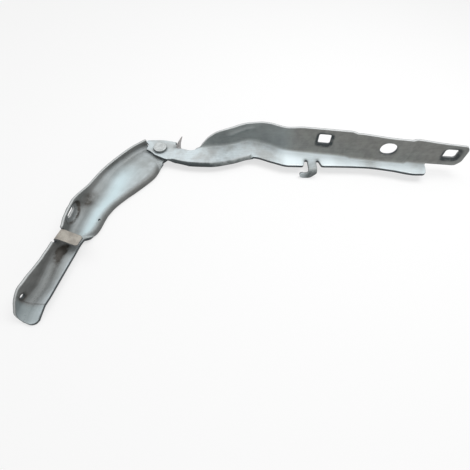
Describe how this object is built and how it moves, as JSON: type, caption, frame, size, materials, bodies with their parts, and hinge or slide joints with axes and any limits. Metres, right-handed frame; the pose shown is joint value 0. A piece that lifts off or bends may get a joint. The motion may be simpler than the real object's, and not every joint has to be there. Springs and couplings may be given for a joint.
{
  "type": "hood hinge",
  "caption": "Pressed-steel hood hinge: a flanged bracket for the body and a long angled arm for the hood, joined by one riveted pivot.",
  "frame": {"origin": "on the pivot's axis, at the flat underside of the rivet's tail, which the loose hinge lies on", "axes": "+Z along the pivot's axis, up from the rivet's tail to its head; +X out along the hood arm, from the pivot towards its far end; +Y towards the arm's outer wall face"},
  "size_m": [0.4099, 0.2095, 0.0415],
  "materials": {
    "bracket_steel": "zinc-plated pressed sheet, satin, bluish grey with soft blotches",
    "arm_steel": "zinc-plated pressed sheet, satin, pale bluish grey",
    "rivet_steel": "zinc-plated, satin",
    "bush_bronze": "plain bearing bronze, dull",
    "washer_steel": "plain hardened steel"
  },
  "bodies": {
    "body_side": {"body_bracket": "bracket_steel", "pivot_rivet": "rivet_steel"},
    "hood_side": {"hood_arm": "arm_steel", "pivot_bush": "bush_bronze", "thrust_washer": "washer_steel"}
  },
  "joints": [
    {"name": "hood_pivot", "type": "hinge", "parent": "body_side", "child": "hood_side", "pos_m": [0, 0, 0.0075], "axis": [0, 0, 1], "range_deg": [-50, 0]}
  ]
}
